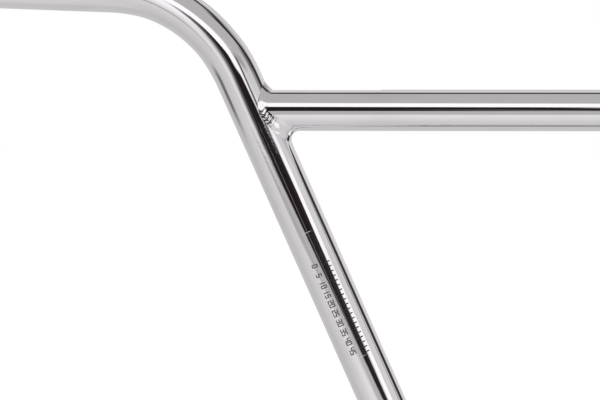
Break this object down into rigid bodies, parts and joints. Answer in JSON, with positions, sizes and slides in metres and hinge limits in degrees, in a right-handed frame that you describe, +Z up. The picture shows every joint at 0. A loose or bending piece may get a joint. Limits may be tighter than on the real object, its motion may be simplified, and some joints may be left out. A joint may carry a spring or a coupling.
{
  "type": "bmx handlebar",
  "caption": "Chrome-plated steel BMX handlebar: a bent tube rises from a straight clamp section to swept-back grip ends, braced by a welded crossbar.",
  "frame": {"origin": "middle of the straight that the stem clamps, on the tube's axis", "axes": "+X along the clamp to the rider's left, +Y back towards the rider, +Z up in the direction of the rise"},
  "size_m": [0.7488, 0.0622, 0.2742],
  "materials": {
    "chrome_tube": "mirror-bright chrome plate on steel tube",
    "chrome_weld": "chrome plate over rippled weld bead"
  },
  "bodies": {
    "root": {"main_tube": "chrome_tube", "crossbar": "chrome_tube", "crossbar_welds": "chrome_weld"}
  },
  "joints": []
}
